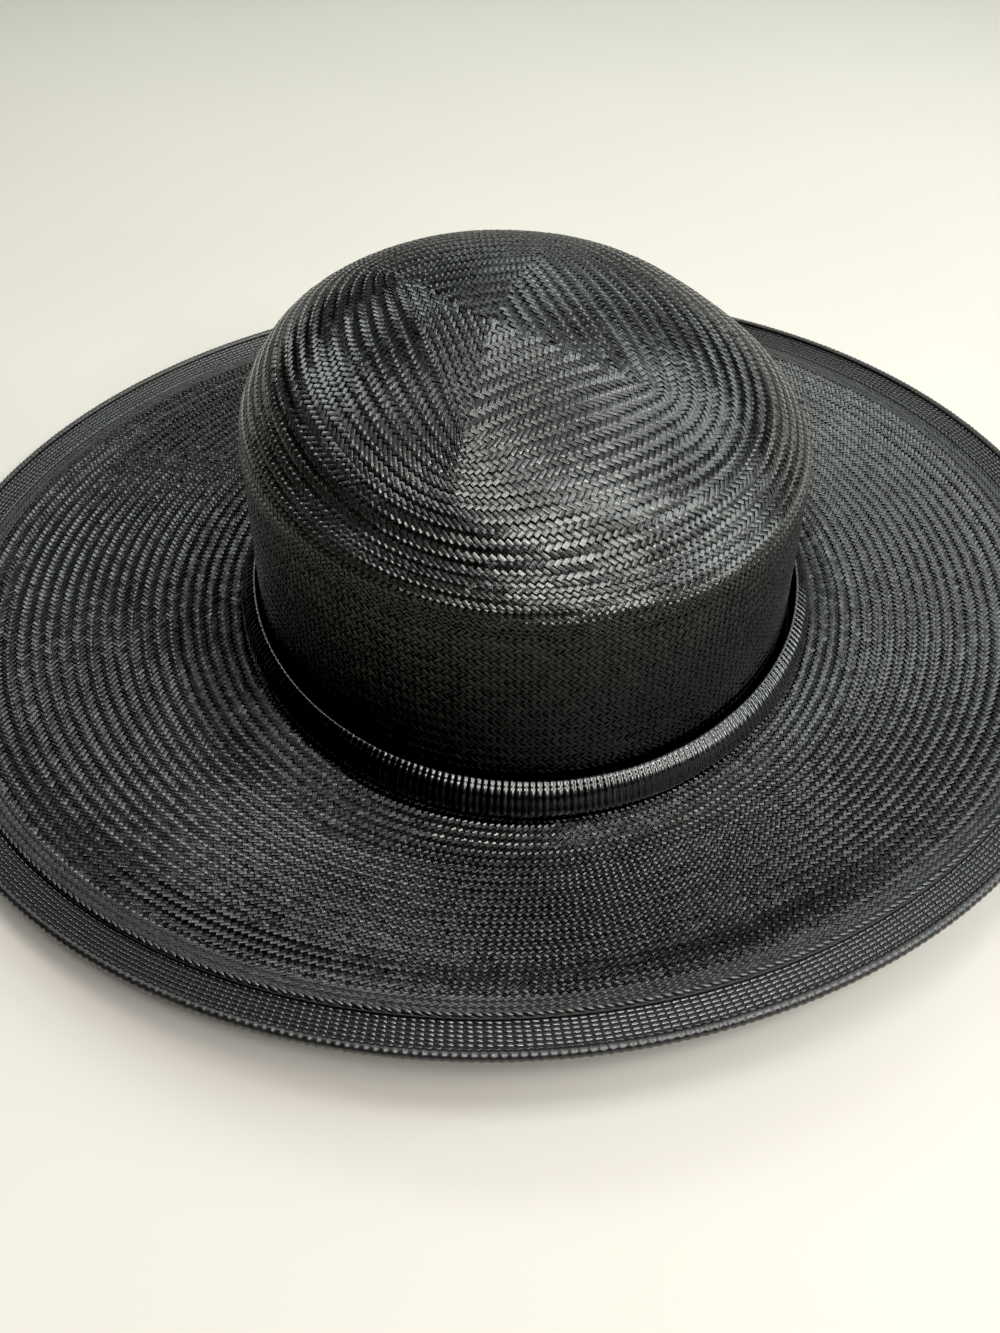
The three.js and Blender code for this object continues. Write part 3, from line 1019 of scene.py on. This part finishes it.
def woven_bump(nodes):
    """Height of a herringbone weave, from the weave attribute: strands along u and half rows along v."""
    weave = nodes.attribute("weave", "Vector")
    split = nodes.node("ShaderNodeSeparateXYZ", {0: weave})
    u = split.outputs[0]
    v = split.outputs[1]
    row = nodes.math("FLOOR", v)
    inside = nodes.minus(v, row)
    odd = nodes.math("MODULO", row, 2.0)
    sign = nodes.minus(nodes.times(odd, 2.0), 1.0)
    strand = nodes.plus(u, nodes.times(nodes.minus(inside, 0.5), sign))
    strand = nodes.plus(strand, nodes.times(odd, 0.5))
    across = nodes.minus(nodes.math("FRACT", strand), 0.5)
    side_drop, end_drop = SHEET_BUMP
    side = nodes.times(nodes.times(across, across), side_drop)
    from_middle = nodes.minus(inside, 0.5)
    end = nodes.times(nodes.times(from_middle, from_middle), end_drop)
    return nodes.minus(1.0, nodes.plus(side, end))


def sheet_material():
    nodes = Nodes("straw_sheet")
    height = woven_bump(nodes)
    wear = nodes.noise(nodes.place(), scale=60.0, detail=4.0)
    # Base colour is darker where the bump dips between strands and at their ends, which is painted shade in
    # the grooves, times uneven wear.
    tone = nodes.times(height, wear)
    shader = nodes.node("ShaderNodeBsdfPrincipled", {
        "Base Color": nodes.ramp(tone, (0.004, 0.004, 0.004, 1), (0.03, 0.03, 0.028, 1)),
        "Roughness": nodes.between(wear, 0.35, 0.6),
        "Normal": nodes.bump(height, strength=0.8, distance=0.0004),
    })
    return nodes.finish(shader.outputs[0])


def braid_material(name, dark, light, rough, see_through=0.0, index=1.5):
    nodes = Nodes(name)
    fine = nodes.noise(nodes.place(), scale=900.0, detail=2.0)
    tone = nodes.times(nodes.plus(nodes.attribute("shade"), fine), 0.5)
    shader = nodes.node("ShaderNodeBsdfPrincipled", {
        "Base Color": nodes.ramp(tone, dark, light),
        "Roughness": nodes.between(fine, rough - 0.08, rough + 0.12),
        "Normal": nodes.bump(fine, strength=0.35, distance=0.0001),
        "Alpha": 1.0 - see_through,
        "IOR": index,
    })
    return nodes.finish(shader.outputs[0])


def floor_material():
    nodes = Nodes("floor")
    place = nodes.place()
    soft = nodes.noise(place, scale=6.0, detail=3.0)
    colour = nodes.ramp(soft, (0.53, 0.505, 0.465, 1), (0.57, 0.545, 0.505, 1))
    away = nodes.node("ShaderNodeVectorMath", {0: place}, operation="LENGTH").outputs["Value"]
    far = nodes.node("ShaderNodeMapRange", {
        "Value": away, "From Min": FAR_FLOOR[0], "From Max": FAR_FLOOR[1], "To Max": 1.0,
    }, interpolation_type="SMOOTHSTEP").outputs[0]
    shader = nodes.node("ShaderNodeBsdfPrincipled", {
        "Base Color": colour, "Roughness": 0.9, "Emission Color": BACKDROP, "Emission Strength": far,
    })
    return nodes.finish(shader.outputs[0])


# Scene

def add_camera():
    data = bpy.data.cameras.new("camera")
    data.lens = CAMERA_LENS
    data.sensor_width = CAMERA_SENSOR
    data.clip_start = 0.01
    data.clip_end = 50
    camera = bpy.data.objects.new("camera", data)
    axes = np.array([CAMERA_RIGHT, CAMERA_UP, -np.array(CAMERA_FORWARD)]).T
    matrix = Matrix.Identity(4)
    for i in range(3):
        for j in range(3):
            matrix[i][j] = float(axes[i][j])
        matrix[i][3] = CAMERA_PLACE[i] * MM
    location, rotation, _ = matrix.decompose()
    camera.matrix_world = Matrix.LocRotScale(location, rotation, None)
    bpy.context.scene.collection.objects.link(camera)
    bpy.context.scene.camera = camera


def add_light(name, turn, height, size, watts, colour):
    """turn and height in degrees, from the front towards the right and from the floor upwards."""
    data = bpy.data.lights.new(name, "AREA")
    data.size = size
    data.energy = watts
    data.color = colour
    light = bpy.data.objects.new(name, data)
    light.rotation_mode = "QUATERNION"
    turn = math.radians(turn)
    height = math.radians(height)
    level = LIGHT_DISTANCE * math.cos(height)
    place = Vector((level * math.sin(turn), -level * math.cos(turn), LIGHT_DISTANCE * math.sin(height)))
    light.rotation_quaternion = (LIGHT_TARGET - place).to_track_quat("-Z", "Y")
    light.location = place
    bpy.context.scene.collection.objects.link(light)


def add_floor():
    bpy.ops.mesh.primitive_plane_add(size=FLOOR_SIZE, location=(0, 0, 0))
    floor = bpy.context.object
    floor.name = "floor"
    floor.data.materials.append(floor_material())


def add_world():
    """Soft light from all round, and the backdrop where the camera looks past the floor."""
    world = bpy.data.worlds.new("soft_room")
    world.use_nodes = True
    tree = world.node_tree
    background = tree.nodes["Background"]
    background.inputs["Color"].default_value = ROOM_COLOUR
    background.inputs["Strength"].default_value = ROOM_LIGHT
    backdrop = tree.nodes.new("ShaderNodeBackground")
    backdrop.inputs["Color"].default_value = BACKDROP
    seen = tree.nodes.new("ShaderNodeLightPath").outputs["Is Camera Ray"]
    either = tree.nodes.new("ShaderNodeMixShader")
    tree.links.new(seen, either.inputs[0])
    tree.links.new(background.outputs[0], either.inputs[1])
    tree.links.new(backdrop.outputs[0], either.inputs[2])
    tree.links.new(either.outputs[0], tree.nodes["World Output"].inputs["Surface"])
    bpy.context.scene.world = world


def set_colours():
    view = bpy.context.scene.view_settings
    view.view_transform = "Standard"
    view.look = "None"
    view.use_curve_mapping = True
    view.curve_mapping.black_level = (BLACK_LEVEL, BLACK_LEVEL, BLACK_LEVEL)
    view.curve_mapping.update()


def dress(piece, material, slot, *nodes):
    piece.data.materials.clear()
    piece.data.materials.append(material)
    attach(piece, "root")
    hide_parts(*nodes)


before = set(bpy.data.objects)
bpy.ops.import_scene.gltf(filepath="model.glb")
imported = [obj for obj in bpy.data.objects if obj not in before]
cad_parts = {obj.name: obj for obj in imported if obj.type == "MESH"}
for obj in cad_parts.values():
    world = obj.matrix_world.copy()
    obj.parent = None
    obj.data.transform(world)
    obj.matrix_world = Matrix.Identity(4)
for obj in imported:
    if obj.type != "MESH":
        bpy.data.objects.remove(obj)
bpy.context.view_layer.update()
add_camera()
add_floor()
add_world()
for light in LIGHTS:
    add_light(*light)
set_colours()

straw = straw_material(
    "black_straw", dark=(0.0010, 0.0012, 0.0011, 1), light=(0.006, 0.0065, 0.006, 1),
    rough=(0.21, 0.31), anisotropy=0.93)
# The pressed hem is a rougher copy of the straw. Its lighter colour is painted light, for the flat hem
# catching more overhead light.
hem_straw_painted_light = straw_material(
    "black_hem_straw", dark=(0.003, 0.0035, 0.0033, 1), light=(0.014, 0.015, 0.0145, 1),
    rough=(0.38, 0.50), anisotropy=0.8)
rope = straw_material(
    "black_rope", dark=(0.004, 0.005, 0.005, 1), light=(0.03, 0.034, 0.032, 1),
    rough=(0.24, 0.4), anisotropy=0.0)
backing = sheet_material()
crin = braid_material(
    "crin_braid", dark=(0.0015, 0.0015, 0.0017, 1), light=(0.006, 0.006, 0.0065, 1), rough=0.22, index=1.8)
roll_braid = braid_material(
    "crin_roll", dark=(0.0012, 0.0012, 0.0014, 1), light=(0.005, 0.005, 0.0055, 1), rough=0.21, index=1.7)
# The wired edge is a rougher copy of the crin. Its lighter colour is painted sheen that brightens its ribs.
wire_braid_painted_sheen = braid_material(
    "crin_wired_edge", dark=(0.003, 0.003, 0.0032, 1), light=(0.012, 0.012, 0.012, 1), rough=0.34,
    index=1.65)
sheer = braid_material(
    "crin_mesh", dark=(0.003, 0.003, 0.0035, 1), light=(0.010, 0.010, 0.011, 1), rough=0.45,
    see_through=0.15, index=1.35)
thread = braid_material("stitch_thread", dark=(0.02, 0.02, 0.02, 1), light=(0.06, 0.06, 0.058, 1), rough=0.5)

dress(weave_crown(), straw, "straw", "crown")
dress(make_crown_sheet(), backing, "straw", "crown")
brim_straw, brim_hem = weave_brim()
dress(brim_straw, straw, "straw", "brim")
dress(brim_hem, hem_straw_painted_light, "straw", "brim")
dress(make_brim_sheet(), backing, "straw", "brim")
dress(weave_edge_rope(), rope, "straw", "brim")
dress(make_stitches(), thread, "straw", "brim")
dress(make_band(), roll_braid, "braid", "hat_band")
dress(make_lip_sheet(), sheer, "braid", "edge_binding")
dress(weave_lip(), crin, "braid", "edge_binding")
dress(make_wired_edge(), wire_braid_painted_sheen, "braid", "edge_binding")
